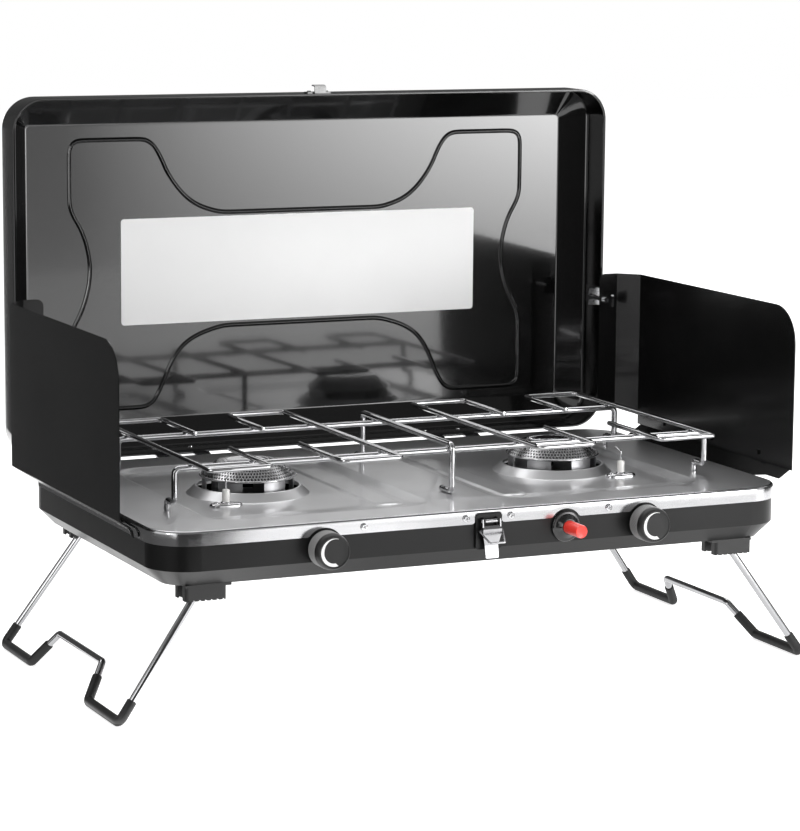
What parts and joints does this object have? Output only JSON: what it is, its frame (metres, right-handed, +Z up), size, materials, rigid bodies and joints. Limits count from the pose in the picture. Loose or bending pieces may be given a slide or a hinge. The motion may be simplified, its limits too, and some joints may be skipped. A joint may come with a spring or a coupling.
{
  "type": "two-burner camping stove",
  "caption": "Folding gas camping stove with burners under a wire grate, hinged lid, side windscreens and wire legs.",
  "frame": {"origin": "middle of the floor under the stove, below the centre of its box", "axes": "+X to the stove's right as the cook sees it, +Y to the rear with the lid, +Z up"},
  "size_m": [0.621, 0.4146, 0.4724],
  "materials": {
    "stainless": "polished stainless",
    "black_enamel": "gloss enamel",
    "label_white": "blank white",
    "chrome": "polished",
    "black_plastic": "satin",
    "sleeve_rubber": "matte",
    "latch_black": "satin",
    "screen_steel": "satin enamel",
    "brass": "machined",
    "aluminium": "drawn",
    "red_button": "gloss",
    "ceramic_white": "glazed",
    "electrode_steel": "drawn wire"
  },
  "bodies": {
    "base": {"cooktop": "stainless", "lower_case": "black_enamel", "band_screws": "chrome", "foot_front_right": "black_plastic", "foot_front_left": "black_plastic", "foot_rear_right": "black_plastic", "foot_rear_left": "black_plastic", "burner_base_right": "stainless", "burner_base_left": "stainless", "burner_cap_right": "stainless", "burner_cap_left": "stainless", "mixing_tubes": "aluminium", "valve_right": "brass", "valve_left": "brass", "manifold_pipe": "aluminium", "gas_inlet": "brass", "electrode_plates": "stainless", "electrode_ceramics": "ceramic_white", "electrode_tips": "electrode_steel", "igniter_bezel": "black_plastic", "igniter_body": "black_plastic", "latch_plate": "latch_black", "hinge_base_leaf_right": "chrome", "hinge_base_leaf_left": "chrome"},
    "lid": {"lid_pan": "black_enamel", "label_plate": "label_white", "lid_catch": "chrome", "lid_rivets": "chrome", "hinge_lid_leaf_right": "chrome", "hinge_lid_leaf_left": "chrome", "hinge_pins": "chrome", "screw_bracket_right": "chrome", "screw_bracket_left": "chrome"},
    "windscreen_left": {"windscreen_left": "screen_steel"},
    "windscreen_right": {"windscreen_right": "screen_steel"},
    "thumb_screw_left": {"thumb_screw_left": "chrome"},
    "thumb_screw_right": {"thumb_screw_right": "chrome"},
    "knob_left": {"knob_left": "black_plastic", "valve_stem_left": "brass"},
    "knob_right": {"knob_right": "black_plastic", "valve_stem_right": "brass"},
    "igniter_button": {"igniter_button": "red_button"},
    "latch_lever": {"latch_lever": "chrome"},
    "latch_bail": {"latch_bail": "chrome"},
    "leg_left": {"leg_wire_left": "chrome", "leg_sleeve_front_left": "sleeve_rubber", "leg_sleeve_rear_left": "sleeve_rubber"},
    "leg_right": {"leg_wire_right": "chrome", "leg_sleeve_front_right": "sleeve_rubber", "leg_sleeve_rear_right": "sleeve_rubber"},
    "grate": {"grate_bar_front": "chrome", "grate_bar_rear": "chrome", "grate_centre_wire": "chrome", "pot_wire_outer_left": "chrome", "pot_wire_inner_left": "chrome", "pot_wire_inner_right": "chrome", "pot_wire_outer_right": "chrome"}
  },
  "joints": [
    {"name": "lid_hinge", "type": "hinge", "parent": "base", "child": "lid", "pos_m": [0, 0.1524, 0.1473], "axis": [-1, 0, 0], "range_deg": [-90, 0]},
    {"name": "windscreen_left_off", "type": "slide", "parent": "base", "child": "windscreen_left", "axis": [0, -1, 0], "range_m": [0, 0.42]},
    {"name": "thumb_screw_left_turn", "type": "hinge", "parent": "windscreen_left", "child": "thumb_screw_left", "pos_m": [-0.2714, 0.1303, 0.274], "axis": [0, -1, 0], "continuous": true},
    {"name": "knob_left_turn", "type": "hinge", "parent": "base", "child": "knob_left", "pos_m": [-0.1425, -0.1897, 0.132], "axis": [0, -1, 0], "range_deg": [0, 270]},
    {"name": "leg_left_fold", "type": "hinge", "parent": "base", "child": "leg_left", "pos_m": [-0.236, -0.0167, 0.103], "axis": [0, 1, 0], "range_deg": [-125, 0]},
    {"name": "windscreen_right_off", "type": "slide", "parent": "base", "child": "windscreen_right", "axis": [0, -1, 0], "range_m": [0, 0.42]},
    {"name": "thumb_screw_right_turn", "type": "hinge", "parent": "windscreen_right", "child": "thumb_screw_right", "pos_m": [0.2714, 0.1303, 0.274], "axis": [0, -1, 0], "continuous": true},
    {"name": "knob_right_turn", "type": "hinge", "parent": "base", "child": "knob_right", "pos_m": [0.1425, -0.1897, 0.132], "axis": [0, -1, 0], "range_deg": [0, 270]},
    {"name": "leg_right_fold", "type": "hinge", "parent": "base", "child": "leg_right", "pos_m": [0.236, -0.0167, 0.103], "axis": [0, -1, 0], "range_deg": [-125, 0]},
    {"name": "igniter_push", "type": "slide", "parent": "base", "child": "igniter_button", "axis": [0, 1, 0], "range_m": [0, 0.004], "stiffness_N_per_m": 600},
    {"name": "latch_lever_swing", "type": "hinge", "parent": "base", "child": "latch_lever", "pos_m": [0, -0.1843, 0.144], "axis": [-1, 0, 0], "range_deg": [0, 100]},
    {"name": "latch_bail_swing", "type": "hinge", "parent": "latch_lever", "child": "latch_bail", "pos_m": [0, -0.1843, 0.1365], "axis": [-1, 0, 0], "range_deg": [-35, 65]},
    {"name": "grate_lift", "type": "slide", "parent": "base", "child": "grate", "axis": [0, 0, 1], "range_m": [0, 0.15]}
  ],
  "couplings": [
    {"joint": "windscreen_left_off", "follows": "lid_hinge", "m_per_rad": -0.26},
    {"joint": "windscreen_right_off", "follows": "lid_hinge", "m_per_rad": -0.26}
  ]
}
